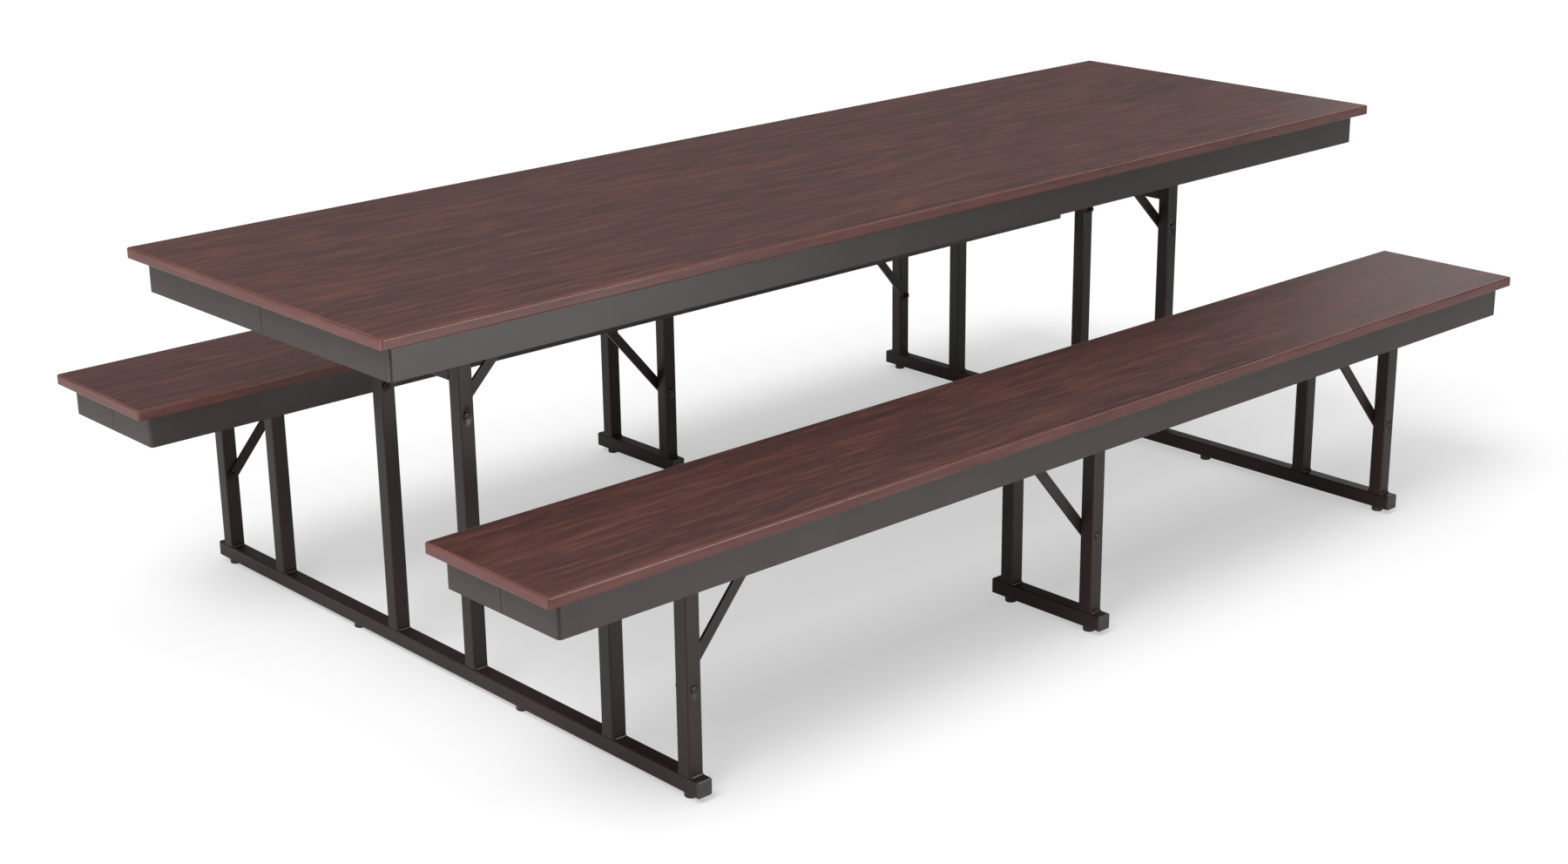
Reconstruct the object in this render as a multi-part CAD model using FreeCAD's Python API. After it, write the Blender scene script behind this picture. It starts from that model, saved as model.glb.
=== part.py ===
import FreeCAD, Part
import math
import os

from FreeCAD import Vector

# A folding cafeteria table with two attached benches, in millimetres.
# X runs along the table, Y across it, Z up. The origin is on the floor under the middle of the whole.

# Tops
table_length = 2438.0
table_width = 762.0
table_height = 737.0
bench_width = 305.0
bench_height = 432.0
bench_shift = 18.0
panel_thickness = 19.0
band_thickness = 4.0
band_corner = 5.0
band_top_round = 3.5
band_bottom_round = 2.0

# Aprons: folded sheet under each top, in two halves that meet at the middle of the short ends
apron_depth = 58.0
apron_sheet = 1.5
apron_bend = 7.0
apron_flange = 22.0
apron_lip = 10.0
apron_seam = 1.2
table_end_inset = 25.0
table_side_inset = 21.0
bench_end_inset = 26.0
bench_side_inset = 14.5
apron_screw_count = 7

# Leg frames of square tube
tube = 28.6
tube_wall = 1.8
tube_round = 3.0
frame_inset = 315.0
base_length = 1424.0
base_overhang = 34.0
table_post_offset = 116.0
bench_post_offset = 94.0
rail_drop = 173.0
mid_base_overhang = 35.0
mid_leg_offset = 8.0

# Feet and end caps
glide_height = 10.0
glide_radius = 11.0
glide_round = 2.0
glide_stem_radius = 4.0
glide_stem_rise = 8.0
inner_glide_offset = 244.0
cap_flange = 4.0
cap_round = 1.5
cap_plug = 16.0
cap_play = 0.2

# Pivots of the legs under the tops
pivot_depth = 30.0
pivot_bolt_radius = 5.0
pivot_head_radius = 9.0
pivot_head_height = 6.0
pivot_bolt_tail = 2.0
bracket_sheet = 3.0
bracket_length = 66.0
bracket_play = 0.5
bracket_ear_radius = 15.0
bracket_screw_inset = 9.0

# Braces: flat bars that turn on a bolt in a post and hook over a stud under the top
brace_width = 19.0
brace_thickness = 4.8
brace_drop = 200.0
table_brace_run = 200.0
bench_brace_run = 172.0
brace_bolt_radius = 3.2
brace_head_radius = 6.0
brace_head_height = 3.5
brace_head_round = 2.5
brace_nut_radius = 6.4
brace_nut_height = 5.0
brace_bolt_tail = 2.0
stud_radius = 4.0
stud_neck_radius = 2.5
hook_flare = 30.0
catch_sheet = 3.0
catch_length = 40.0
catch_flange = 26.0
catch_edge = 8.0
catch_screw_inset = 8.0

# Wood screws
screw_radius = 2.0
screw_head_radius = 4.5
screw_head_height = 2.5
screw_bite = 12.0

# Clearances
face_gap = 0.3
running_fit = 0.06
bolt_play = 0.05
stud_play = 1.0

# Places that follow from the sizes above
table_x = -bench_shift / 2
bench_x = bench_shift / 2
mid_x = bench_x + mid_leg_offset
bench_length = table_length
bench_centre = base_length / 2 - base_overhang - bench_post_offset
frame_reach = table_length / 2 - frame_inset
base_bottom = glide_height
base_top = base_bottom + tube
table_under = table_height - panel_thickness
bench_under = bench_height - panel_thickness
table_pivot = table_under - pivot_depth
bench_pivot = bench_under - pivot_depth
rail_middle = table_under - rail_drop + tube / 2
post_face = tube / 2
brace_near_face = post_face + face_gap
brace_far_face = brace_near_face + brace_thickness
catch_face = brace_far_face + face_gap
sides = {"near": -1, "far": 1}
ends = {"left": -1, "right": 1}


def write(name, solids):
    """Write one named piece, or one group of like pieces, to its own file."""
    shape = solids[0] if len(solids) == 1 else Part.makeCompound(solids)
    shape.exportStep(os.path.join("parts", name + ".step"))
    print(name, len(solids), "solids", round(shape.Volume / 1000.0, 2), "cm3")


def block(low, high):
    size = high - low
    return Part.makeBox(size.x, size.y, size.z, low)


def slab(centre_x, centre_y, length, width, bottom, top, corner):
    """A flat block with its four upright edges rounded."""
    low = Vector(centre_x - length / 2, centre_y - width / 2, bottom)
    solid = block(low, Vector(centre_x + length / 2, centre_y + width / 2, top))
    upright = [edge for edge in solid.Edges if edge.BoundBox.ZLength > (top - bottom) / 2]
    return solid.makeFillet(corner, upright)


def rod_y(x, z, start, end, radius):
    return Part.makeCylinder(radius, abs(end - start), Vector(x, min(start, end), z), Vector(0, 1, 0))


def rod_z(x, y, start, end, radius):
    return Part.makeCylinder(radius, end - start, Vector(x, y, start))


def hexagon_y(x, z, start, end, radius):
    """A six-sided prism along Y, for bolt heads and nuts."""
    corners = []
    for step in range(7):
        angle = math.radians(60 * step)
        corners.append(Vector(x + radius * math.cos(angle), start, z + radius * math.sin(angle)))
    return Part.Face(Part.makePolygon(corners)).extrude(Vector(0, end - start, 0))


def square_tube(start, end):
    """A straight square tube with rounded corners, along Z or along Y."""
    run = end - start
    along = Vector(run).normalize()
    hollow = tube - 2 * tube_wall
    skins = []
    for width, corner in ((tube, tube_round), (hollow, tube_round - tube_wall)):
        solid = Part.makeBox(width, width, run.Length, Vector(-width / 2, -width / 2, 0))
        upright = [edge for edge in solid.Edges if edge.BoundBox.ZLength > run.Length / 2]
        skins.append(solid.makeFillet(corner, upright))
    solid = skins[0].cut(skins[1])
    solid.Placement = FreeCAD.Placement(start, FreeCAD.Rotation(Vector(0, 0, 1), along))
    return solid


def screw(x, y, head_seat):
    """A wood screw driven upwards, its head against a face that looks down."""
    shank = rod_z(x, y, head_seat, head_seat + screw_bite, screw_radius)
    head = rod_z(x, y, head_seat - screw_head_height, head_seat, screw_head_radius)
    return shank.fuse(head)


def panel(centre_x, centre_y, length, width, height, screw_places):
    """The laminated board inside the edge band, with a pilot hole over each screw."""
    bottom = height - panel_thickness
    board = slab(centre_x, centre_y, length - 2 * band_thickness, width - 2 * band_thickness, bottom, height,
                 band_corner - band_thickness)
    holes = [rod_z(x, y, bottom, seat + screw_bite + bolt_play, screw_radius + bolt_play)
             for x, y, seat in screw_places]
    return board.cut(Part.makeCompound(holes))


def edge_band(centre_x, centre_y, length, width, height):
    """The vinyl band round a board, rounded along its outer edges."""
    bottom = height - panel_thickness
    outer = slab(centre_x, centre_y, length, width, bottom, height, band_corner)
    for level, radius in ((height, band_top_round), (bottom, band_bottom_round)):
        rim = [edge for edge in outer.Edges
               if edge.BoundBox.ZLength < face_gap and abs(edge.BoundBox.ZMin - level) < face_gap]
        outer = outer.makeFillet(radius, rim)
    board = slab(centre_x, centre_y, length - 2 * band_thickness, width - 2 * band_thickness, bottom, height,
                 band_corner - band_thickness)
    return outer.cut(board)


def apron_ring(centre_x, centre_y, length, width, under):
    """The whole skirt: an upright web, a flange against the board and a lip along the bottom."""
    low = under - apron_depth
    outer = slab(centre_x, centre_y, length, width, low, under, apron_bend)
    inner = slab(centre_x, centre_y, length - 2 * apron_sheet, width - 2 * apron_sheet, low + apron_sheet,
                 under - apron_sheet, apron_bend - apron_sheet)
    ring = outer.cut(inner)
    for inset, bottom, top in ((apron_flange, under - apron_sheet, under), (apron_lip, low, low + apron_sheet)):
        half = Vector(length / 2 - inset, width / 2 - inset, 0)
        centre = Vector(centre_x, centre_y, 0)
        ring = ring.cut(block(centre - half + Vector(0, 0, bottom), centre + half + Vector(0, 0, top)))
    return ring


def apron_half(ring, centre_y, side, screw_places):
    """One half of the skirt, cut at the seams in the middle of the short ends."""
    box = ring.BoundBox
    seam = centre_y + side * apron_seam / 2
    outside = centre_y + side * box.YLength
    keep = block(Vector(box.XMin, min(seam, outside), box.ZMin), Vector(box.XMax, max(seam, outside), box.ZMax))
    holes = [rod_z(x, y, seat, seat + apron_sheet, screw_radius + face_gap) for x, y, seat in screw_places]
    return ring.common(keep).cut(Part.makeCompound(holes))


def apron_screw_places(centre_x, centre_y, length, width, under):
    """Screws through the middle of the apron's top flange, along both sides and beside the end seams."""
    seat = under - apron_sheet
    line_x = length / 2 - apron_flange / 2 - apron_sheet
    line_y = width / 2 - apron_flange / 2 - apron_sheet
    reach = line_x - apron_flange
    gap = 2 * reach / (apron_screw_count - 1)
    places = []
    for side in sides.values():
        for step in range(apron_screw_count):
            places.append((centre_x - reach + step * gap, centre_y + side * line_y, seat))
        for end in ends.values():
            places.append((centre_x + end * line_x, centre_y + side * line_y / 2, seat))
    return places


def leg_bracket(x, y, under):
    """A folded U under the board whose two ears carry a leg's pivot bolt."""
    pivot = under - pivot_depth
    ear_inner = post_face + bracket_play
    ear_outer = ear_inner + bracket_sheet
    half = bracket_length / 2
    bracket = block(Vector(x - half, y - ear_outer, under - bracket_sheet), Vector(x + half, y + ear_outer, under))
    for low, high in ((y - ear_outer, y - ear_inner), (y + ear_inner, y + ear_outer)):
        flank = block(Vector(x - bracket_ear_radius, low, pivot), Vector(x + bracket_ear_radius, high, under))
        bracket = bracket.fuse([flank, rod_y(x, pivot, low, high, bracket_ear_radius)])
    bracket = bracket.removeSplitter()
    bracket = bracket.cut(rod_y(x, pivot, y - ear_outer, y + ear_outer, pivot_bolt_radius + bolt_play))
    for place_x, place_y, seat in bracket_screw_places(x, y, under):
        bracket = bracket.cut(rod_z(place_x, place_y, seat, under, screw_radius + face_gap))
    return bracket


def bracket_screw_places(x, y, under):
    inset = bracket_length / 2 - bracket_screw_inset
    return [(x - inset, y, under - bracket_sheet), (x + inset, y, under - bracket_sheet)]


def pivot_bolt(x, y, under):
    """A hex bolt through a bracket's ears and the post between them, and its nut."""
    pivot = under - pivot_depth
    ear = post_face + bracket_play + bracket_sheet
    tail = y + ear + pivot_head_height + pivot_bolt_tail
    head = hexagon_y(x, pivot, y - ear - pivot_head_height, y - ear, pivot_head_radius)
    bolt = rod_y(x, pivot, y - ear - pivot_head_height / 2, tail, pivot_bolt_radius).fuse(head)
    nut = hexagon_y(x, pivot, y + ear, y + ear + pivot_head_height, pivot_head_radius)
    nut = nut.cut(rod_y(x, pivot, y + ear, tail, pivot_bolt_radius + bolt_play))
    return [bolt.removeSplitter(), nut]


def brace_catch(x, y, side, under):
    """An angle screwed under the board, and the stud riveted in it that a brace hooks over.

    x is the stud, y the post that carries the brace and side the way from that post to the catch.
    """
    pivot = under - pivot_depth
    half = catch_length / 2
    face = y + side * catch_face
    back = face + side * catch_sheet
    flange = face + side * catch_flange
    low = pivot - stud_radius - catch_edge
    plate = block(Vector(x - half, min(face, back), low), Vector(x + half, max(face, back), under))
    foot = block(Vector(x - half, min(face, flange), under - catch_sheet), Vector(x + half, max(face, flange), under))
    angle = plate.fuse(foot).removeSplitter()
    angle = angle.cut(rod_y(x, pivot, face, back, stud_neck_radius + bolt_play))
    for place_x, place_y, seat in catch_screw_places(x, y, side, under):
        angle = angle.cut(rod_z(place_x, place_y, seat, under, screw_radius + face_gap))
    stud = rod_y(x, pivot, y + side * brace_near_face, face, stud_radius)
    stud = stud.fuse(rod_y(x, pivot, face, back, stud_neck_radius))
    return [angle, stud]


def catch_screw_places(x, y, side, under):
    inset = catch_length / 2 - catch_screw_inset
    line = y + side * (catch_face + (catch_sheet + catch_flange) / 2)
    return [(x - inset, line, under - catch_sheet), (x + inset, line, under - catch_sheet)]


def brace(x, y, side, lean, pivot, run):
    """A flat bar from its bolt in a post up to its stud, hooked open on its upper edge.

    side is the face of the post that carries it, lean the way along X that it slopes up.
    """
    length = math.hypot(run, brace_drop)
    slope_x = run / length
    slope_z = brace_drop / length
    start = y + side * brace_near_face
    through = Vector(0, side * brace_thickness, 0)
    half = brace_width / 2
    notch = stud_radius + stud_play
    mouth = notch + brace_width * math.tan(math.radians(hook_flare))

    def spot(along, across):
        return Vector(x + lean * (along * slope_x - across * slope_z), start,
                      pivot - brace_drop + along * slope_z + across * slope_x)

    outline = [Part.LineSegment(spot(0, half), spot(length, half)),
               Part.Arc(spot(length, half), spot(length + half, 0), spot(length, -half)),
               Part.LineSegment(spot(length, -half), spot(0, -half)),
               Part.Arc(spot(0, -half), spot(-half, 0), spot(0, half))]
    bar = Part.Face(Part.Wire([curve.toShape() for curve in outline])).extrude(through)
    corners = [spot(length - notch, 0), spot(length + notch, 0), spot(length + mouth, brace_width),
               spot(length - mouth, brace_width), spot(length - notch, 0)]
    opening = Part.Face(Part.makePolygon(corners)).extrude(through)
    end = start + through.y
    stud = spot(length, 0)
    seat = rod_y(stud.x, stud.z, start, end, notch)
    bolt_hole = rod_y(x, pivot - brace_drop, start, end, brace_bolt_radius + running_fit)
    return bar.cut(opening.fuse(seat)).cut(bolt_hole)


def brace_bolt(x, y, side, pivot):
    """The round-headed bolt through a post and its brace, and the nut behind the brace."""
    z = pivot - brace_drop
    head_face = y - side * post_face
    head_top = head_face - side * brace_head_height
    nut_face = y + side * catch_face
    nut_top = nut_face + side * brace_nut_height
    head = rod_y(x, z, head_face, head_top, brace_head_radius)
    crown = [edge for edge in head.Edges
             if edge.BoundBox.YLength < face_gap and abs(edge.BoundBox.YMin - head_top) < face_gap]
    head = head.makeFillet(brace_head_round, crown)
    bolt = rod_y(x, z, head_face, nut_top + side * brace_bolt_tail, brace_bolt_radius).fuse(head)
    nut = hexagon_y(x, z, nut_face, nut_top, brace_nut_radius)
    nut = nut.cut(rod_y(x, z, nut_face, nut_top, brace_bolt_radius + bolt_play))
    return [bolt, nut]


def post(x, y, pivot, brace_pivots):
    """An upright from the base tube to just above its pivot, bored for its bolts."""
    upright = square_tube(Vector(x, y, base_top), Vector(x, y, pivot + post_face))
    upright = upright.cut(rod_y(x, pivot, y - tube, y + tube, pivot_bolt_radius + running_fit))
    for bolted in brace_pivots:
        hole = rod_y(x, bolted - brace_drop, y - tube, y + tube, brace_bolt_radius + bolt_play)
        upright = upright.cut(hole)
    return upright


def base_tube(x, start, end, glide_places):
    """A tube along the floor between its end caps, holed below for the glides' stems."""
    middle = (base_bottom + base_top) / 2
    bar = square_tube(Vector(x, start + cap_flange, middle), Vector(x, end - cap_flange, middle))
    for y in glide_places:
        bar = bar.cut(rod_z(x, y, base_bottom, base_bottom + tube_wall, glide_stem_radius + bolt_play))
    return bar


def base_cap(x, end_y, side):
    """A moulded cap: a rounded plate over the tube's end and a plug inside it."""
    middle = (base_bottom + base_top) / 2
    inner = end_y - side * cap_flange
    plug_end = inner - side * cap_plug
    plug_half = tube / 2 - tube_wall - cap_play
    plate = block(Vector(x - post_face, min(end_y, inner), base_bottom),
                  Vector(x + post_face, max(end_y, inner), base_top))
    lengthways = [edge for edge in plate.Edges if edge.BoundBox.YLength > cap_flange / 2]
    plate = plate.makeFillet(tube_round, lengthways)
    rim = [edge for edge in plate.Edges
           if edge.BoundBox.YLength < face_gap and abs(edge.BoundBox.YMin - end_y) < face_gap]
    plate = plate.makeFillet(cap_round, rim)
    plug = block(Vector(x - plug_half, min(inner, plug_end), middle - plug_half),
                 Vector(x + plug_half, max(inner, plug_end), middle + plug_half))
    lengthways = [edge for edge in plug.Edges if edge.BoundBox.YLength > cap_plug / 2]
    plug = plug.makeFillet(tube_round - tube_wall, lengthways)
    return plate.fuse(plug).removeSplitter()


def glide(x, y):
    """A round foot with a stem that is pressed up through the tube's lower wall."""
    foot = rod_z(x, y, 0, glide_height, glide_radius)
    floor_rim = [edge for edge in foot.Edges if edge.BoundBox.ZMax < glide_height / 2]
    foot = foot.makeFillet(glide_round, floor_rim)
    return foot.fuse(rod_z(x, y, glide_height, glide_height + glide_stem_rise, glide_stem_radius))


def write_top(name, centre_x, centre_y, size, insets, height, half_names, legs, catches):
    """Write a table or bench top with its apron, brackets, catches, bolts and screws.

    legs lists the pivots' places, catches the studs as (stud x, post y, side).
    """
    length, width = size
    end_inset, side_inset = insets
    under = height - panel_thickness
    skirt = (length - 2 * end_inset, width - 2 * side_inset)
    skirt_screws = apron_screw_places(centre_x, centre_y, skirt[0], skirt[1], under)
    screws = list(skirt_screws)
    for x, y in legs:
        screws += bracket_screw_places(x, y, under)
    for x, y, side in catches:
        screws += catch_screw_places(x, y, side, under)
    write(name + "_panel", [panel(centre_x, centre_y, length, width, height, screws)])
    write(name + "_edge_band", [edge_band(centre_x, centre_y, length, width, height)])
    ring = apron_ring(centre_x, centre_y, skirt[0], skirt[1], under)
    for half_name, side in half_names.items():
        write(name + "_apron_" + half_name, [apron_half(ring, centre_y, side, skirt_screws)])
    write(name + "_leg_brackets", [leg_bracket(x, y, under) for x, y in legs])
    hooks = []
    for x, y, side in catches:
        hooks += brace_catch(x, y, side, under)
    write(name + "_brace_catches", hooks)
    bolts = []
    for x, y in legs:
        bolts += pivot_bolt(x, y, under)
    write(name + "_pivot_bolts", bolts)
    write(name + "_screws", [screw(x, y, seat) for x, y, seat in screws])


def write_table():
    legs = []
    catches = []
    for end in ends.values():
        x = table_x + end * frame_reach
        for side in sides.values():
            legs.append((x, side * table_post_offset))
            catches.append((x - end * table_brace_run, side * table_post_offset, -side))
    write_top("table", table_x, 0, (table_length, table_width), (table_end_inset, table_side_inset),
              table_height, sides, legs, catches)


def write_bench(side_name, side):
    """A bench: its legs are the two end frames' outer posts and the folding leg at its middle."""
    centre_y = side * bench_centre
    outer = centre_y + side * bench_post_offset
    inner = centre_y - side * bench_post_offset
    legs = []
    catches = []
    for end in ends.values():
        x = table_x + end * frame_reach
        legs += [(x, outer), (x, inner)]
        catches.append((x - end * bench_brace_run, outer, -side))
    legs += [(mid_x, outer), (mid_x, inner)]
    catches.append((mid_x - bench_brace_run, centre_y - bench_post_offset, 1))
    half_names = {"outer": side, "inner": -side}
    write_top(side_name + "_bench", bench_x, centre_y, (bench_length, bench_width),
              (bench_end_inset, bench_side_inset), bench_height, half_names, legs, catches)


def write_end_frame(end_name, end):
    """An end frame: one base tube across the floor, a pair of posts for each top, and the braces."""
    x = table_x + end * frame_reach
    half = base_length / 2
    outer_post = bench_centre + bench_post_offset
    glide_places = [-outer_post, -inner_glide_offset, inner_glide_offset, outer_post]
    write(end_name + "_base_tube", [base_tube(x, -half, half, glide_places)])
    write(end_name + "_base_caps", [base_cap(x, side * half, side) for side in sides.values()])
    write(end_name + "_glides", [glide(x, y) for y in glide_places])
    table_posts = [post(x, side * table_post_offset, table_pivot, [table_pivot]) for side in sides.values()]
    write(end_name + "_table_posts", table_posts)
    rail_half = table_post_offset - post_face
    rail = square_tube(Vector(x, -rail_half, rail_middle), Vector(x, rail_half, rail_middle))
    write(end_name + "_cross_rail", [rail])
    bolts = []
    for side_name, side in sides.items():
        outer = side * outer_post
        inner = side * (bench_centre - bench_post_offset)
        write(end_name + "_" + side_name + "_bench_posts",
              [post(x, outer, bench_pivot, [bench_pivot]), post(x, inner, bench_pivot, [])])
        bolts += brace_bolt(x, outer, -side, bench_pivot)
        bolts += brace_bolt(x, side * table_post_offset, -side, table_pivot)
        write(end_name + "_" + side_name + "_bench_brace",
              [brace(x, outer, -side, -end, bench_pivot, bench_brace_run)])
    write(end_name + "_brace_bolts", bolts)
    table_braces = [brace(x, side * table_post_offset, -side, -end, table_pivot, table_brace_run)
                    for side in sides.values()]
    write(end_name + "_table_braces", table_braces)


def write_mid_leg(side_name, side):
    """A bench's middle leg: two posts on a short base tube, with one brace sloping up towards -X."""
    name = side_name + "_mid_leg"
    centre_y = side * bench_centre
    half = bench_post_offset + mid_base_overhang
    start = centre_y - half
    end = centre_y + half
    braced = centre_y - bench_post_offset
    plain = centre_y + bench_post_offset
    write(name + "_base_tube", [base_tube(mid_x, start, end, [braced, plain])])
    write(name + "_base_caps", [base_cap(mid_x, start, -1), base_cap(mid_x, end, 1)])
    write(name + "_glides", [glide(mid_x, braced), glide(mid_x, plain)])
    write(name + "_posts", [post(mid_x, braced, bench_pivot, [bench_pivot]), post(mid_x, plain, bench_pivot, [])])
    write(name + "_brace_bolt", brace_bolt(mid_x, braced, 1, bench_pivot))
    write(name + "_brace", [brace(mid_x, braced, 1, -1, bench_pivot, bench_brace_run)])


os.makedirs("parts", exist_ok=True)
write_table()
for side_name, side in sides.items():
    write_bench(side_name, side)
    write_mid_leg(side_name, side)
for end_name, end in ends.items():
    write_end_frame(end_name, end)
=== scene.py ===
import math

import bpy
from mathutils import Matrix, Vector


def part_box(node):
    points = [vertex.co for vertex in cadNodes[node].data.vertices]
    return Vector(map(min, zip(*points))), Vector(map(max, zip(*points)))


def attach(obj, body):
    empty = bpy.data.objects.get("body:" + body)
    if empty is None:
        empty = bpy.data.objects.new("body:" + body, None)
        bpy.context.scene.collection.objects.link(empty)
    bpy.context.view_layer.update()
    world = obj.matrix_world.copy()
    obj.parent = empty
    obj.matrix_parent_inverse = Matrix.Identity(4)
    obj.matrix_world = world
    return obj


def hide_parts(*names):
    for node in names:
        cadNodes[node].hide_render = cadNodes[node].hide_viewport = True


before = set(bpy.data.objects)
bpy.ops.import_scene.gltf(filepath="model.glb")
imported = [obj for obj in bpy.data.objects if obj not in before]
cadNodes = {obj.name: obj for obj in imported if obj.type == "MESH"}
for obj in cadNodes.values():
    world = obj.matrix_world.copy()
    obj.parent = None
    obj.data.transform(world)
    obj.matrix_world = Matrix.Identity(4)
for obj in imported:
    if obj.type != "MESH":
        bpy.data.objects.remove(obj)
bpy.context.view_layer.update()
hair = 0.0001          # metres, for picking what lies on a plane
print("frame loaded:", len(cadNodes), "nodes")


def clearPick():
    if bpy.context.object and bpy.context.object.mode != "OBJECT":
        bpy.ops.object.mode_set(mode="OBJECT")
    bpy.ops.object.select_all(action="DESELECT")


def pickOnly(obj):
    clearPick()
    obj.select_set(True)
    bpy.context.view_layer.objects.active = obj


def pickParts(obj, kind, test):
    # kind is VERT, EDGE or FACE, and test gets the middle of each one
    bpy.ops.object.mode_set(mode="EDIT")
    bpy.ops.mesh.select_mode(type=kind)
    bpy.ops.mesh.select_all(action="DESELECT")
    bpy.ops.object.mode_set(mode="OBJECT")
    mesh = obj.data
    if kind == "VERT":
        for vert in mesh.vertices:
            vert.select = test(vert.co)
    elif kind == "EDGE":
        for edge in mesh.edges:
            a, b = (mesh.vertices[i].co for i in edge.vertices)
            edge.select = test((a + b) / 2)
    else:
        for face in mesh.polygons:
            face.select = test(face.center)
    bpy.ops.object.mode_set(mode="EDIT")


def startMaterial(name, roughness, specular):
    mat = bpy.data.materials.new(name)
    mat.use_nodes = True
    shader = mat.node_tree.nodes["Principled BSDF"]
    shader.inputs["Roughness"].default_value = roughness
    shader.inputs["Specular IOR Level"].default_value = specular
    return mat, mat.node_tree.nodes, mat.node_tree.links, shader


def addNode(nodes, kind, values=None, **settings):
    node = nodes.new(kind)
    for key, value in settings.items():
        setattr(node, key, value)
    for key, value in (values or {}).items():
        node.inputs[key].default_value = value
    return node


def addRamp(nodes, links, source, stops):
    ramp = nodes.new("ShaderNodeValToRGB")
    while len(ramp.color_ramp.elements) < len(stops):
        ramp.color_ramp.elements.new(0.5)
    for element, (place, colour) in zip(ramp.color_ramp.elements, stops):
        element.position = place
        element.color = (*colour, 1) if len(colour) == 3 else (colour[0], colour[0], colour[0], 1)
    links.new(source, ramp.inputs["Fac"])
    return ramp.outputs["Color"]


def addNoise(nodes, links, source, stretch, offset, detail, rough):
    # noise on stretched object coordinates: stretch is how many features per metre along X, Y and Z
    mapping = addNode(nodes, "ShaderNodeMapping")
    mapping.inputs["Scale"].default_value = stretch
    mapping.inputs["Location"].default_value = offset
    links.new(source, mapping.inputs["Vector"])
    noise = addNode(nodes, "ShaderNodeTexNoise", {"Scale": 1.0, "Detail": detail, "Roughness": rough})
    links.new(mapping.outputs["Vector"], noise.inputs["Vector"])
    return noise.outputs["Fac"]


def mixColours(nodes, links, how, amount, first, second):
    mix = addNode(nodes, "ShaderNodeMix", data_type="RGBA", blend_type=how)
    for socket, value in ((mix.inputs[0], amount), (mix.inputs[6], first), (mix.inputs[7], second)):
        if isinstance(value, bpy.types.NodeSocket):
            links.new(value, socket)
        elif isinstance(value, float):
            socket.default_value = value
        else:
            socket.default_value = (*value, 1)
    return mix.outputs[2]


def addBump(nodes, links, shader, height, strength, distance):
    bump = addNode(nodes, "ShaderNodeBump", {"Strength": strength, "Distance": distance})
    links.new(height, bump.inputs["Height"])
    links.new(bump.outputs["Normal"], shader.inputs["Normal"])


laminate = {
    "dark": (0.053, 0.0235, 0.0215), "middle": (0.074, 0.0310, 0.0278), "red": (0.140, 0.0490, 0.0370),
    "backer": (0.055, 0.036, 0.026), "roughness": 0.45, "specular": 0.30, "sheet": 0.0012,
}


def makeLaminate(name, topZ, offset):
    # mahogany print: wandering grain along X, redder flecks, fine streaks and pores; a plain backer sheet below
    mat, nodes, links, shader = startMaterial(name, laminate["roughness"], laminate["specular"])
    place = nodes.new("ShaderNodeTexCoord").outputs["Object"]
    wander = addNoise(nodes, links, place, (1.3, 5.0, 1.0), (offset, 1.7, 0.0), 2.0, 0.5)
    shift = addNode(nodes, "ShaderNodeMapRange", {"To Min": -0.02, "To Max": 0.02})
    links.new(wander, shift.inputs["Value"])
    sideways = nodes.new("ShaderNodeCombineXYZ")
    links.new(shift.outputs["Result"], sideways.inputs["Y"])
    bent = addNode(nodes, "ShaderNodeVectorMath", operation="ADD")
    links.new(place, bent.inputs[0])
    links.new(sideways.outputs["Vector"], bent.inputs[1])
    grain = bent.outputs["Vector"]

    broad = addNoise(nodes, links, grain, (1.2, 15.0, 1.0), (offset, 0.0, 0.0), 3.0, 0.55)
    flecks = addNoise(nodes, links, grain, (7.5, 80.0, 1.0), (offset, 4.0, 0.0), 4.0, 0.66)
    streaks = addNoise(nodes, links, grain, (8.0, 330.0, 1.0), (offset, 9.0, 0.0), 4.0, 0.62)
    pores = addNoise(nodes, links, grain, (42.0, 1500.0, 1.0), (offset, 2.0, 0.0), 1.0, 0.5)

    tone = addRamp(nodes, links, broad, ((0.34, laminate["dark"]), (0.62, laminate["middle"])))
    fleckMask = addRamp(nodes, links, flecks, ((0.46, (0.0,)), (0.69, (0.82,))))
    tone = mixColours(nodes, links, "MIX", fleckMask, tone, laminate["red"])
    streakTone = addRamp(nodes, links, streaks, ((0.34, (0.71,)), (0.66, (1.12,))))
    tone = mixColours(nodes, links, "MULTIPLY", 1.0, tone, streakTone)
    poreTone = addRamp(nodes, links, pores, ((0.58, (1.0,)), (0.70, (0.66,))))
    tone = mixColours(nodes, links, "MULTIPLY", 1.0, tone, poreTone)

    # the printed sheet is only on top
    axes = nodes.new("ShaderNodeSeparateXYZ")
    links.new(place, axes.inputs["Vector"])
    onTop = addNode(nodes, "ShaderNodeMath", operation="GREATER_THAN")
    onTop.inputs[1].default_value = topZ - laminate["sheet"]
    links.new(axes.outputs["Z"], onTop.inputs[0])
    fibres = addNoise(nodes, links, place, (90.0, 90.0, 90.0), (0.0, 0.0, 0.0), 4.0, 0.65)
    darkBacker = [c * 0.75 for c in laminate["backer"]]
    backer = addRamp(nodes, links, fibres, ((0.3, darkBacker), (0.7, laminate["backer"])))
    tone = mixColours(nodes, links, "MIX", onTop.outputs["Value"], backer, tone)
    links.new(tone, shader.inputs["Base Color"])

    rough = laminate["roughness"]
    gloss = addNode(nodes, "ShaderNodeMapRange", {"To Min": rough - 0.05, "To Max": rough + 0.09})
    links.new(flecks, gloss.inputs["Value"])
    links.new(gloss.outputs["Result"], shader.inputs["Roughness"])
    addBump(nodes, links, shader, streaks, 0.12, 0.0003)
    return mat


edgeVinyl = {"dark": (0.107, 0.0395, 0.0332), "light": (0.154, 0.058, 0.049), "roughness": 0.27, "specular": 0.22}


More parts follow.
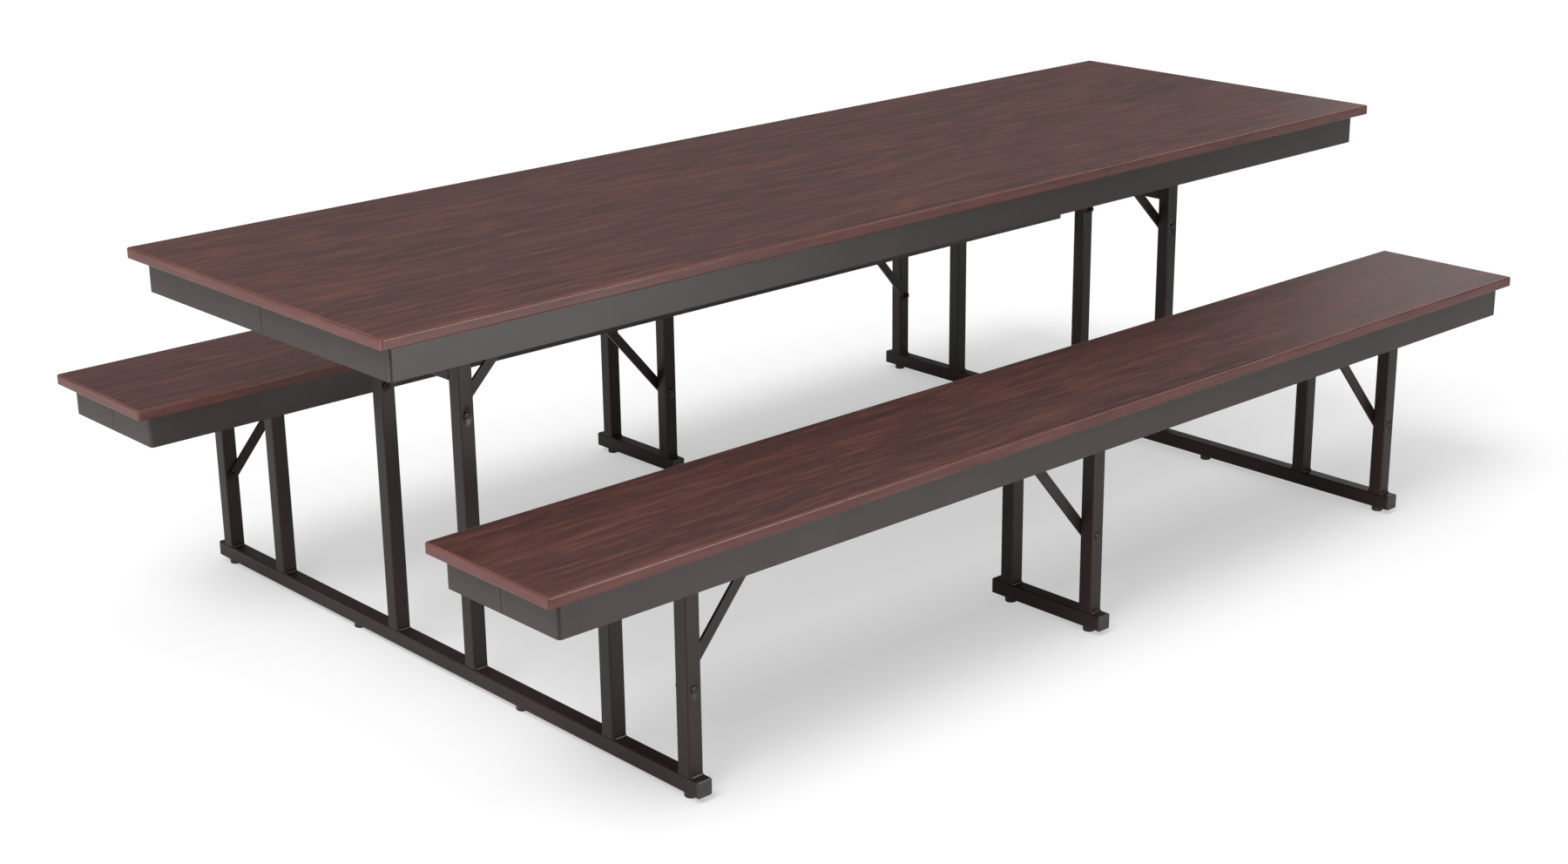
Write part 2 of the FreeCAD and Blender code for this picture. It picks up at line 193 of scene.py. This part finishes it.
def makeEdgeVinyl():
    mat, nodes, links, shader = startMaterial("edgeVinyl", edgeVinyl["roughness"], edgeVinyl["specular"])
    place = nodes.new("ShaderNodeTexCoord").outputs["Object"]
    cloudy = addNoise(nodes, links, place, (7.0, 7.0, 60.0), (3.0, 0.0, 0.0), 4.0, 0.6)
    lines = addNoise(nodes, links, place, (14.0, 14.0, 520.0), (0.0, 5.0, 0.0), 2.0, 0.5)
    tone = addRamp(nodes, links, cloudy, ((0.3, edgeVinyl["dark"]), (0.65, edgeVinyl["light"])))
    lineTone = addRamp(nodes, links, lines, ((0.35, (0.86,)), (0.65, (1.06,))))
    links.new(mixColours(nodes, links, "MULTIPLY", 1.0, tone, lineTone), shader.inputs["Base Color"])
    peel = addNoise(nodes, links, place, (520.0, 520.0, 520.0), (0.0, 0.0, 0.0), 2.0, 0.5)
    addBump(nodes, links, shader, peel, 0.10, 0.0002)
    return mat


paint = {
    "sheet": (0.046, 0.0335, 0.0295), "tube": (0.021, 0.0098, 0.0072), "worn": (0.064, 0.053, 0.047),
    "roughness": 0.40, "specular": 0.27, "peelSize": 420.0, "sheetLift": 0.10, "tubeLift": 0.12,
}


def makePaint(name, colour, lift):
    # satin brown-black paint: cloudy tone, orange peel and a few rubbed specks
    mat, nodes, links, shader = startMaterial(name, paint["roughness"], paint["specular"])
    place = nodes.new("ShaderNodeTexCoord").outputs["Object"]
    cloudy = addNoise(nodes, links, place, (6.0, 6.0, 6.0), (1.0, 2.0, 0.0), 4.0, 0.55)
    dark, pale = [c * (1 - lift) for c in colour], [c * (1 + lift) for c in colour]
    tone = addRamp(nodes, links, cloudy, ((0.3, dark), (0.7, pale)))
    specks = addNoise(nodes, links, place, (260.0, 260.0, 260.0), (7.0, 0.0, 3.0), 2.0, 0.55)
    speckMask = addRamp(nodes, links, specks, ((0.70, (0.0,)), (0.78, (0.5,))))
    links.new(mixColours(nodes, links, "MIX", speckMask, tone, paint["worn"]), shader.inputs["Base Color"])
    smears = addNoise(nodes, links, place, (11.0, 11.0, 3.5), (0.0, 8.0, 0.0), 3.0, 0.6)
    rough = paint["roughness"]
    gloss = addNode(nodes, "ShaderNodeMapRange", {"To Min": rough - 0.06, "To Max": rough + 0.10})
    links.new(smears, gloss.inputs["Value"])
    links.new(gloss.outputs["Result"], shader.inputs["Roughness"])
    peel = addNoise(nodes, links, place, (paint["peelSize"],) * 3, (0.0, 0.0, 0.0), 2.0, 0.5)
    addBump(nodes, links, shader, peel, 0.16, 0.0003)
    return mat


zinc = {"colour": (0.40, 0.40, 0.375), "dull": (0.26, 0.26, 0.245), "roughness": 0.38}


def makeZinc():
    mat, nodes, links, shader = startMaterial("zincPlate", zinc["roughness"], 0.5)
    shader.inputs["Metallic"].default_value = 1.0
    place = nodes.new("ShaderNodeTexCoord").outputs["Object"]
    cloudy = addNoise(nodes, links, place, (170.0, 170.0, 170.0), (0.0, 0.0, 0.0), 4.0, 0.6)
    tone = addRamp(nodes, links, cloudy, ((0.35, zinc["dull"]), (0.65, zinc["colour"])))
    links.new(tone, shader.inputs["Base Color"])
    scratches = addNoise(nodes, links, place, (900.0, 2600.0, 900.0), (0.0, 0.0, 0.0), 2.0, 0.5)
    addBump(nodes, links, shader, scratches, 0.10, 0.0001)
    return mat


plastic = {"colour": (0.017, 0.0145, 0.0135), "scuff": (0.045, 0.041, 0.038), "roughness": 0.46}


def makePlastic():
    mat, nodes, links, shader = startMaterial("mouldedPlastic", plastic["roughness"], 0.5)
    place = nodes.new("ShaderNodeTexCoord").outputs["Object"]
    cloudy = addNoise(nodes, links, place, (55.0, 55.0, 55.0), (2.0, 0.0, 0.0), 4.0, 0.65)
    tone = addRamp(nodes, links, cloudy, ((0.45, plastic["colour"]), (0.80, plastic["scuff"])))
    links.new(tone, shader.inputs["Base Color"])
    grain = addNoise(nodes, links, place, (1400.0, 1400.0, 1400.0), (0.0, 0.0, 0.0), 1.0, 0.5)
    addBump(nodes, links, shader, grain, 0.22, 0.0002)
    return mat


def dress(obj, mat):
    for slot in obj.material_slots:
        slot.material = mat
    if not obj.material_slots:
        obj.data.materials.append(mat)


sheetPaint = makePaint("sheetPaint", paint["sheet"], paint["sheetLift"])
tubePaint = makePaint("tubePaint", paint["tube"], paint["tubeLift"])
vinyl = makeEdgeVinyl()
zincPlate = makeZinc()
mouldedPlastic = makePlastic()

grainOffsets = {"table_panel": 0.0, "near_bench_panel": 11.3, "far_bench_panel": 23.9}
for nodeName, obj in cadNodes.items():
    if nodeName.endswith("_panel"):
        dress(obj, makeLaminate("laminate_" + nodeName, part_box(nodeName)[1].z, grainOffsets[nodeName]))
    elif nodeName.endswith("_edge_band"):
        dress(obj, vinyl)
    elif "_apron_" in nodeName or nodeName.endswith(("_leg_brackets", "_brace_catches")):
        dress(obj, sheetPaint)
    elif nodeName.endswith(("_screws", "_pivot_bolts")):
        dress(obj, zincPlate)
    elif nodeName.endswith(("_base_caps", "_glides")):
        dress(obj, mouldedPlastic)
    else:
        dress(obj, tubePaint)
print("materials on all nodes")


def solidBoxes(nodeName):
    # a merged copy of the node, pulled apart, gives the box of each solid in it
    source = cadNodes[nodeName]
    copied = source.copy()
    copied.data = source.data.copy()
    bpy.context.collection.objects.link(copied)
    pickOnly(copied)
    bpy.ops.object.mode_set(mode="EDIT")
    bpy.ops.mesh.select_all(action="SELECT")
    bpy.ops.mesh.remove_doubles(threshold=0.00001)
    bpy.ops.mesh.separate(type="LOOSE")
    bpy.ops.object.mode_set(mode="OBJECT")
    boxes = []
    for solid in bpy.context.selected_objects:
        corners = [solid.matrix_world @ Vector(c) for c in solid.bound_box]
        low = Vector([min(c[i] for c in corners) for i in range(3)])
        high = Vector([max(c[i] for c in corners) for i in range(3)])
        boxes.append((low, high))
    bpy.ops.object.delete()
    return boxes


def placeCopy(template, place, turn=(0.0, 0.0, 0.0)):
    pickOnly(template)
    bpy.ops.object.duplicate(linked=False)
    copied = bpy.context.object
    copied.location = place
    copied.rotation_euler = [math.radians(a) for a in turn]
    return copied


smoothAngle = 32.0     # sharper edges than this stay crisp


def joinPieces(parts, name, mat, body):
    clearPick()
    for part in parts:
        part.select_set(True)
    bpy.context.view_layer.objects.active = parts[0]
    bpy.ops.object.join()
    piece = bpy.context.object
    bpy.ops.object.transform_apply(location=True, rotation=True, scale=True)
    bpy.ops.object.mode_set(mode="EDIT")
    bpy.ops.mesh.select_all(action="SELECT")
    bpy.ops.mesh.normals_make_consistent(inside=False)
    bpy.ops.object.mode_set(mode="OBJECT")
    bpy.ops.object.shade_smooth_by_angle(angle=math.radians(smoothAngle))
    flatten = piece.modifiers.new("flatten", "WEIGHTED_NORMAL")    # keeps wide faces flat beside rounded edges
    flatten.keep_sharp = True
    bpy.ops.object.modifier_apply(modifier="flatten")
    piece.name = name
    piece.data.name = name
    piece.data.materials.clear()
    piece.data.materials.append(mat)
    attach(piece, body)
    return piece


def cutWith(target, cutter, how):
    pickOnly(target)
    cut = target.modifiers.new("cut", "BOOLEAN")
    cut.operation = how
    cut.solver = "EXACT"
    cut.object = cutter
    bpy.ops.object.modifier_apply(modifier="cut")
    pickOnly(cutter)
    bpy.ops.object.delete()
    pickOnly(target)


def dropTemplate(template):
    pickOnly(template)
    bpy.ops.object.delete()


weld = {"radius": 0.0044, "length": 0.0255, "ripples": 6, "dip": 0.92, "tail": 0.6,
        "nearTurn": (20, 0, 0), "farTurn": (-35, 0, 180)}


def makeWeldBead():
    # a short round bead along X, ringed, with every other ring pinched and the ends run out
    clearPick()
    bpy.ops.mesh.primitive_cylinder_add(vertices=10, radius=weld["radius"], depth=weld["length"],
                                        rotation=(0, math.radians(90), 0))
    bead = bpy.context.object
    bpy.ops.object.transform_apply(location=False, rotation=True, scale=False)
    half = weld["length"] / 2
    rings = weld["ripples"] * 2
    pickParts(bead, "EDGE", lambda mid: abs(mid.x) < half * 0.2)
    bpy.ops.mesh.subdivide(number_cuts=rings - 1)
    step = weld["length"] / rings
    for ring in range(1, rings, 2):
        x = -half + ring * step
        pickParts(bead, "VERT", lambda co: abs(co.x - x) < step * 0.3)
        bpy.ops.transform.resize(value=(1, weld["dip"], weld["dip"]))
    for end in (-half, half):
        pickParts(bead, "VERT", lambda co: abs(co.x - end) < step * 0.3)
        bpy.ops.transform.resize(value=(1, weld["tail"], weld["tail"]))
    bpy.ops.object.mode_set(mode="OBJECT")
    smooth = bead.modifiers.new("smooth", "SUBSURF")
    smooth.levels = smooth.render_levels = 1
    bpy.ops.object.modifier_apply(modifier="smooth")
    return bead


def weldFeet(body, baseName, postNames):
    # a bead along the foot of both Y faces of every post
    bead = makeWeldBead()
    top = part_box(baseName)[1].z
    copies = []
    for nodeName in postNames:
        for low, high in solidBoxes(nodeName):
            middle = (low.x + high.x) / 2
            copies.append(placeCopy(bead, (middle, low.y, top), weld["nearTurn"]))
            copies.append(placeCopy(bead, (middle, high.y, top), weld["farTurn"]))
    dropTemplate(bead)
    joinPieces(copies, body + "_weld_beads", tubePaint, body)


def makeDomedHead(radius, height, shankRadius, shankLength):
    # seat at z = 0 with the dome upwards and the shank hanging below
    clearPick()
    bpy.ops.mesh.primitive_cylinder_add(vertices=28, radius=radius, depth=height, location=(0, 0, height / 2))
    head = bpy.context.object
    bpy.ops.object.transform_apply(location=True, rotation=False, scale=False)
    pickParts(head, "EDGE", lambda mid: mid.z > height * 0.9)
    bpy.ops.mesh.bevel(offset=height * 0.82, segments=5, profile=0.55, affect="EDGES")
    pickParts(head, "FACE", lambda mid: mid.z < height * 0.001)
    bpy.ops.mesh.inset(thickness=radius - shankRadius)
    bpy.ops.mesh.extrude_region_move(TRANSFORM_OT_translate={"value": (0, 0, -shankLength)})
    bpy.ops.mesh.bevel(offset=shankRadius * 0.22, segments=2, affect="EDGES")
    bpy.ops.object.mode_set(mode="OBJECT")
    return head


hexShape = {"turned": 0.985, "chamfer": 0.13, "collar": 0.74}      # shares of the corner radius


def makeHex(radius, height, collar):
    # a six-sided blank turned off at its outer corners; a lock nut also gets a round collar
    clearPick()
    bpy.ops.mesh.primitive_cylinder_add(vertices=36, radius=radius * hexShape["turned"], depth=height,
                                        location=(0, 0, height / 2))
    turned = bpy.context.object
    bpy.ops.object.transform_apply(location=True, rotation=False, scale=False)
    pickParts(turned, "EDGE", lambda mid: mid.z > height * 0.9)
    bpy.ops.mesh.bevel(offset=radius * hexShape["chamfer"], segments=2, affect="EDGES")
    bpy.ops.object.mode_set(mode="OBJECT")
    clearPick()
    bpy.ops.mesh.primitive_cylinder_add(vertices=6, radius=radius, depth=height, location=(0, 0, height / 2))
    hexagon = bpy.context.object
    bpy.ops.object.transform_apply(location=True, rotation=False, scale=False)
    cutWith(hexagon, turned, "INTERSECT")
    if collar:
        clearPick()
        bpy.ops.mesh.primitive_cylinder_add(vertices=28, radius=radius * hexShape["collar"], depth=height,
                                            location=(0, 0, height / 2 + collar))
        ring = bpy.context.object
        bpy.ops.object.transform_apply(location=True, rotation=False, scale=False)
        pickParts(ring, "EDGE", lambda mid: mid.z > height + collar * 0.9)
        bpy.ops.mesh.bevel(offset=collar * 0.6, segments=3, affect="EDGES")
        bpy.ops.object.mode_set(mode="OBJECT")
        cutWith(hexagon, ring, "UNION")
    return hexagon


nutLongest = 0.015     # a longer solid is a bolt


def boltPairs(nodeName):
    # each long solid is a bolt, and the short one on its line is its nut
    boxes = solidBoxes(nodeName)
    bolts = [b for b in boxes if b[1].y - b[0].y > nutLongest]
    nuts = [b for b in boxes if b[1].y - b[0].y <= nutLongest]
    pairs = []
    for low, high in bolts:
        middle = (low + high) / 2
        nut = min(nuts, key=lambda n: ((n[0] + n[1]) / 2 - middle).length)
        pairs.append((middle, low, high, nut))
    return pairs


def headSide(bolt):
    middle, low, high, nut = bolt
    return 1 if (nut[0].y + nut[1].y) / 2 < middle.y else -1    # which way the head looks along Y


post = {"wall": 0.0018, "round": 0.003, "bore": 0.04,
        "dishDepth": 0.0029, "dishTall": 0.021, "dishCuts": 13}


def makePost(low, high, dishHeight):
    # a square tube with rounded corners, bored at its upper end, and with its -Y face pulled in round the bolt
    clearPick()
    size = high - low
    middle = (low + high) / 2
    bpy.ops.mesh.primitive_cube_add(size=1, location=middle, scale=size)
    tube = bpy.context.object
    bpy.ops.object.transform_apply(location=True, rotation=False, scale=True)
    edgeX, edgeY = size.x * 0.45, size.y * 0.45
    pickParts(tube, "EDGE", lambda mid: abs(mid.x - middle.x) > edgeX and abs(mid.y - middle.y) > edgeY)
    bpy.ops.mesh.bevel(offset=post["round"], segments=4, affect="EDGES")
    pickParts(tube, "FACE", lambda mid: mid.z > high.z - hair)
    bpy.ops.mesh.inset(thickness=post["wall"])
    bpy.ops.mesh.extrude_region_move(TRANSFORM_OT_translate={"value": (0, 0, -post["bore"])})
    if dishHeight:
        tall = post["dishTall"]
        wide = size.x / 2 - post["round"]
        for z in (dishHeight - tall, dishHeight + tall):
            bpy.ops.mesh.select_all(action="SELECT")
            bpy.ops.mesh.bisect(plane_co=(0, 0, z), plane_no=(0, 0, 1))
        pickParts(tube, "FACE", lambda mid: abs(mid.z - dishHeight) < tall and mid.y < low.y + hair)
        bpy.ops.mesh.subdivide(number_cuts=post["dishCuts"])
        bpy.ops.object.mode_set(mode="OBJECT")
        dish = tube.vertex_groups.new(name="dish")
        for vert in tube.data.vertices:
            away = math.hypot((vert.co.x - middle.x) / wide, (vert.co.z - dishHeight) / tall)
            if vert.co.y < low.y + hair and away < 1:
                dish.add([vert.index], 0.5 + 0.5 * math.cos(math.pi * away), "REPLACE")
        press = tube.modifiers.new("press", "DISPLACE")
        press.vertex_group = "dish"
        press.direction = "Y"
        press.mid_level = 0
        press.strength = post["dishDepth"]
        bpy.ops.object.modifier_apply(modifier="press")
        tube.vertex_groups.clear()
    bpy.ops.object.mode_set(mode="OBJECT")
    return tube


def makePosts(nodeName, body, bolts):
    copies = []
    for low, high in solidBoxes(nodeName):
        middle = (low + high) / 2
        through = [b for b in bolts if b[1].y < middle.y < b[2].y]
        tube = makePost(low, high, through[0][0].z if through else None)
        if through and headSide(through[0]) > 0:                # the bolt head is on the other face
            bpy.context.scene.cursor.location = middle
            bpy.ops.object.origin_set(type="ORIGIN_CURSOR")
            tube.rotation_euler.z = math.pi
        copies.append(tube)
    piece = joinPieces(copies, nodeName + "_dished", tubePaint, body)
    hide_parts(nodeName)


braceBolt = {"headRadius": 0.0062, "headHeight": 0.0036, "shankRadius": 0.0032,
             "nutRadius": 0.0064, "nutHeight": 0.005, "nutTurn": 17}


def makeBraceBolts(nodeName, body, bolts):
    # the head sits at the bottom of the dish that it has pulled into the post
    sunk = post["dishDepth"]
    length = bolts[0][2].y - bolts[0][1].y - braceBolt["headHeight"] - sunk
    head = makeDomedHead(braceBolt["headRadius"], braceBolt["headHeight"], braceBolt["shankRadius"], length)
    lockNut = makeHex(braceBolt["nutRadius"], braceBolt["nutHeight"] * 0.8, braceBolt["nutHeight"] * 0.2)
    copies = []
    for bolt in bolts:
        middle, low, high, nut = bolt
        side = headSide(bolt)
        seat = high.y - braceBolt["headHeight"] if side > 0 else low.y + braceBolt["headHeight"]
        nutSeat = nut[1].y if side > 0 else nut[0].y
        copies.append(placeCopy(head, (middle.x, seat - side * sunk, middle.z), (-90 * side, 0, 0)))
        copies.append(placeCopy(lockNut, (middle.x, nutSeat, middle.z), (90 * side, braceBolt["nutTurn"], 0)))
    dropTemplate(head)
    dropTemplate(lockNut)
    piece = joinPieces(copies, nodeName + "_turned", tubePaint, body)
    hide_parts(nodeName)


pivotBolt = {"hexRadius": 0.009, "headHeight": 0.006, "shankRadius": 0.005, "headTurn": 12, "nutTurn": 23}


def makePivotShank(length):
    # from the head's seat at z = 0 to the rounded end of the thread
    clearPick()
    bpy.ops.mesh.primitive_cylinder_add(vertices=24, radius=pivotBolt["shankRadius"], depth=length,
                                        location=(0, 0, length / 2))
    shank = bpy.context.object
    bpy.ops.object.transform_apply(location=True, rotation=False, scale=False)
    pickParts(shank, "EDGE", lambda mid: mid.z > length * 0.99)
    bpy.ops.mesh.bevel(offset=pivotBolt["shankRadius"] * 0.2, segments=2, affect="EDGES")
    bpy.ops.object.mode_set(mode="OBJECT")
    return shank


def makePivotBolts(nodeName, body):
    bolts = boltPairs(nodeName)
    tall = pivotBolt["headHeight"]
    head = makeHex(pivotBolt["hexRadius"], tall, 0)
    lockNut = makeHex(pivotBolt["hexRadius"], tall * 0.75, tall * 0.25)
    shank = makePivotShank(bolts[0][2].y - bolts[0][1].y - tall)
    copies = []
    for middle, low, high, nut in bolts:
        seat = low.y + tall
        copies.append(placeCopy(head, (middle.x, seat, middle.z), (90, pivotBolt["headTurn"], 0)))
        copies.append(placeCopy(shank, (middle.x, seat, middle.z), (-90, 0, 0)))
        copies.append(placeCopy(lockNut, (middle.x, nut[0].y, middle.z), (-90, pivotBolt["nutTurn"], 0)))
    for template in (head, lockNut, shank):
        dropTemplate(template)
    piece = joinPieces(copies, nodeName + "_turned", zincPlate, body)
    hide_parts(nodeName)


panScrew = {"radius": 0.0045, "height": 0.0025, "shankRadius": 0.002, "point": 0.3,
            "slotWidth": 0.0011, "slotReach": 0.0017, "slotDepth": 0.0013, "slotTaper": 0.6, "turnStep": 37}


def makePanScrew(length):
    # head at the bottom with its free face at z = 0, shank and point going up into the board
    clearPick()
    radius, height = panScrew["radius"], panScrew["height"]
    bpy.ops.mesh.primitive_cylinder_add(vertices=12, radius=radius, depth=height, location=(0, 0, height / 2))
    screw = bpy.context.object
    bpy.ops.object.transform_apply(location=True, rotation=False, scale=False)
    pickParts(screw, "EDGE", lambda mid: mid.z < height * 0.1)
    bpy.ops.mesh.bevel(offset=height * 0.5, segments=2, affect="EDGES")
    pickParts(screw, "FACE", lambda mid: mid.z > height * 0.999)
    bpy.ops.mesh.inset(thickness=radius - panScrew["shankRadius"])
    bpy.ops.mesh.extrude_region_move(TRANSFORM_OT_translate={"value": (0, 0, length - height)})
    bpy.ops.transform.resize(value=(panScrew["point"], panScrew["point"], 1))
    bpy.ops.object.mode_set(mode="OBJECT")
    clearPick()
    bpy.ops.mesh.primitive_cube_add(size=panScrew["slotWidth"], location=(0, 0, 0))
    cross = bpy.context.object
    bpy.ops.transform.resize(value=(1, 1, 2 * panScrew["slotDepth"] / panScrew["slotWidth"]))
    bpy.ops.object.transform_apply(location=True, rotation=False, scale=True)
    reach = panScrew["slotReach"]
    for x, y in ((1, 0), (-1, 0), (0, 1), (0, -1)):
        pickParts(cross, "FACE", lambda mid: mid.x * x + mid.y * y > panScrew["slotWidth"] * 0.45)
        bpy.ops.mesh.extrude_region_move(TRANSFORM_OT_translate={"value": (x * reach, y * reach, 0)})
    pickParts(cross, "VERT", lambda co: co.z > 0)
    bpy.ops.transform.resize(value=(panScrew["slotTaper"], panScrew["slotTaper"], 1))
    bpy.ops.object.mode_set(mode="OBJECT")
    cutWith(screw, cross, "DIFFERENCE")
    return screw


def makeScrews(nodeName, body):
    boxes = solidBoxes(nodeName)
    screw = makePanScrew(boxes[0][1].z - boxes[0][0].z)
    copies = []
    for count, (low, high) in enumerate(boxes):
        place = ((low.x + high.x) / 2, (low.y + high.y) / 2, low.z)
        copies.append(placeCopy(screw, place, (0, 0, panScrew["turnStep"] * count % 90)))
    dropTemplate(screw)
    piece = joinPieces(copies, nodeName + "_cross_head", zincPlate, body)
    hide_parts(nodeName)


def makeLegs(body, baseName, postNames, boltName):
    bolts = boltPairs(boltName)
    weldFeet(body, baseName, postNames)
    makeBraceBolts(boltName, body, bolts)
    for postName in postNames:
        makePosts(postName, body, bolts)


for side in ("left", "right"):
    names = [side + "_table_posts", side + "_near_bench_posts", side + "_far_bench_posts"]
    makeLegs(side + "_frame", side + "_base_tube", names, side + "_brace_bolts")
for side in ("near", "far"):
    leg = side + "_mid_leg"
    makeLegs(leg, leg + "_base_tube", [leg + "_posts"], leg + "_brace_bolt")
print("posts, weld beads and brace bolts made")

for top in ("table", "near_bench", "far_bench"):
    makePivotBolts(top + "_pivot_bolts", top)
    makeScrews(top + "_screws", top)
print("pivot bolts and screws made")


stage = {"floorSize": 120.0, "floorColour": (0.90, 0.90, 0.90), "lift": 0.48, "mirrorLift": 0.12}


def makeFloor():
    clearPick()
    bpy.ops.mesh.primitive_plane_add(size=stage["floorSize"], location=(0, 0, 0))
    floor = bpy.context.object
    floor.name = "studioFloor"
    mat = bpy.data.materials.new("paleFloor")
    mat.use_nodes = True
    nodes, links = mat.node_tree.nodes, mat.node_tree.links
    nodes.remove(nodes["Principled BSDF"])
    out = nodes["Material Output"]
    plain = addNode(nodes, "ShaderNodeBsdfDiffuse", {"Color": (*stage["floorColour"], 1)})
    glow = addNode(nodes, "ShaderNodeEmission", {"Strength": 1.0})
    # the camera and shiny surfaces see the floor lifted towards white, and the shadow stays
    rays = nodes.new("ShaderNodeLightPath")
    mirrored = addNode(nodes, "ShaderNodeMath", operation="MAXIMUM")
    links.new(rays.outputs["Is Glossy Ray"], mirrored.inputs[0])
    links.new(rays.outputs["Is Transmission Ray"], mirrored.inputs[1])
    mirroredLift = addNode(nodes, "ShaderNodeMath", operation="MULTIPLY")
    mirroredLift.inputs[1].default_value = stage["mirrorLift"]
    links.new(mirrored.outputs["Value"], mirroredLift.inputs[0])
    amount = addNode(nodes, "ShaderNodeMath", operation="MULTIPLY_ADD")
    amount.inputs[1].default_value = stage["lift"]
    links.new(rays.outputs["Is Camera Ray"], amount.inputs[0])
    links.new(mirroredLift.outputs["Value"], amount.inputs[2])
    seen = nodes.new("ShaderNodeMixShader")
    links.new(amount.outputs["Value"], seen.inputs["Fac"])
    links.new(plain.outputs["BSDF"], seen.inputs[1])
    links.new(glow.outputs["Emission"], seen.inputs[2])
    links.new(seen.outputs["Shader"], out.inputs["Surface"])
    floor.data.materials.append(mat)


light = {
    "sunStrength": 1.55, "sunAngle": 30.0, "sunTurn": (2.0, -27.0, 0.0),
    "keyPlace": (-3.1, -1.5, 2.6), "keyAim": (-0.5, -0.3, 0.4), "keySize": 1.6, "keyPower": 45.0,
    "skyLow": 0.19, "skyHigh": 1.1, "skyFrom": 0.45, "skyTo": 0.85,
}
softboxes = {   # these show only as sheen on the boards, the near faces, the bends and the rounded edges
    "backSoftbox": {"place": (5.8, 1.9, 1.8), "aim": (1.0, -0.2, 0.6), "size": (1.6, 1.2), "power": 12.0},
    "frontSoftbox": {"place": (-0.20, -2.3, 0.64), "aim": (-0.55, 0.0, 0.5), "size": (1.8, 0.5), "power": 66.0},
    "edgeSoftbox": {"place": (2.5, -1.7, 2.6), "aim": (0.0, -0.7, 0.5), "size": (4.6, 0.3), "power": 22.0},
    "bendSoftbox": {"place": (-3.4, -0.1, 0.10), "aim": (-1.2, -0.4, 0.6), "size": (0.7, 0.3), "power": 20.0},
}


def makeLight():
    clearPick()
    bpy.ops.object.light_add(type="SUN", location=(0, 0, 4), rotation=[math.radians(a) for a in light["sunTurn"]])
    sun = bpy.context.object.data
    sun.energy = light["sunStrength"]
    sun.angle = math.radians(light["sunAngle"])
    bpy.ops.object.light_add(type="AREA", location=light["keyPlace"])
    key = bpy.context.object
    key.name = "keyLight"
    key.rotation_euler = (Vector(light["keyAim"]) - key.location).to_track_quat("-Z", "Y").to_euler()
    key.data.size = light["keySize"]
    key.data.energy = light["keyPower"]
    key.visible_camera = key.visible_glossy = False        # it lights the tops and the floor, with no sheen
    for name, box in softboxes.items():
        bpy.ops.object.light_add(type="AREA", location=box["place"])
        softbox = bpy.context.object
        softbox.name = name
        softbox.rotation_euler = (Vector(box["aim"]) - softbox.location).to_track_quat("-Z", "Y").to_euler()
        softbox.data.shape = "RECTANGLE"
        softbox.data.size, softbox.data.size_y = box["size"]
        softbox.data.energy = box["power"]
        softbox.visible_camera = False
        softbox.visible_diffuse = False
    noGlare = bpy.data.collections.new("noGlare")          # seen from behind, the front softbox would whiten the boards
    for nodeName in grainOffsets:
        noGlare.objects.link(cadNodes[nodeName])
    for board in noGlare.collection_objects:
        board.light_linking.link_state = "EXCLUDE"
    bpy.data.objects["frontSoftbox"].light_linking.receiver_collection = noGlare

    world = bpy.data.worlds.new("studioSky")
    world.use_nodes = True
    nodes, links = world.node_tree.nodes, world.node_tree.links
    direction = nodes.new("ShaderNodeTexCoord").outputs["Generated"]
    axes = nodes.new("ShaderNodeSeparateXYZ")
    links.new(direction, axes.inputs["Vector"])
    height = addNode(nodes, "ShaderNodeMapRange", {"From Min": light["skyFrom"], "From Max": light["skyTo"],
                                                   "To Min": light["skyLow"], "To Max": light["skyHigh"]})
    links.new(axes.outputs["Z"], height.inputs["Value"])
    links.new(height.outputs["Result"], nodes["Background"].inputs["Strength"])
    # the camera sees plain white past the floor
    white = addNode(nodes, "ShaderNodeBackground", {"Color": (1, 1, 1, 1), "Strength": 1.0})
    nodes["Background"].inputs["Color"].default_value = (1, 1, 1, 1)
    both = nodes.new("ShaderNodeMixShader")
    links.new(nodes.new("ShaderNodeLightPath").outputs["Is Camera Ray"], both.inputs["Fac"])
    links.new(nodes["Background"].outputs["Background"], both.inputs[1])
    links.new(white.outputs["Background"], both.inputs[2])
    links.new(both.outputs["Shader"], nodes["World Output"].inputs["Surface"])
    bpy.context.scene.world = world


darkCard = {"place": (-2.25, -1.6, 0.02), "size": 1.3}


def makeDarkCard():
    # a black card on the floor by the camera, seen only as the dark line down the apron's bends
    clearPick()
    bpy.ops.mesh.primitive_plane_add(size=darkCard["size"], location=darkCard["place"])
    card = bpy.context.object
    card.name = "darkCard"
    card.visible_camera = card.visible_diffuse = card.visible_shadow = False
    mat = bpy.data.materials.new("blackCard")
    mat.use_nodes = True
    mat.node_tree.nodes["Principled BSDF"].inputs["Base Color"].default_value = (0.0, 0.0, 0.0, 1)
    mat.node_tree.nodes["Principled BSDF"].inputs["Specular IOR Level"].default_value = 0.0
    card.data.materials.append(mat)


view = {"place": (-3.0947, -3.3122, 1.7452), "turn": (71.329, 0.684, -42.381),
        "lens": 56.467, "sensor": 36.0, "farClip": 300.0}


def makeCamera():
    clearPick()
    bpy.ops.object.camera_add(location=view["place"], rotation=[math.radians(a) for a in view["turn"]])
    cam = bpy.context.object
    cam.data.sensor_width = view["sensor"]
    cam.data.lens = view["lens"]
    cam.data.clip_end = view["farClip"]
    bpy.context.scene.camera = cam


makeFloor()
makeLight()
makeDarkCard()
makeCamera()
bpy.context.scene.view_settings.view_transform = "Standard"
print("floor, light and camera set")
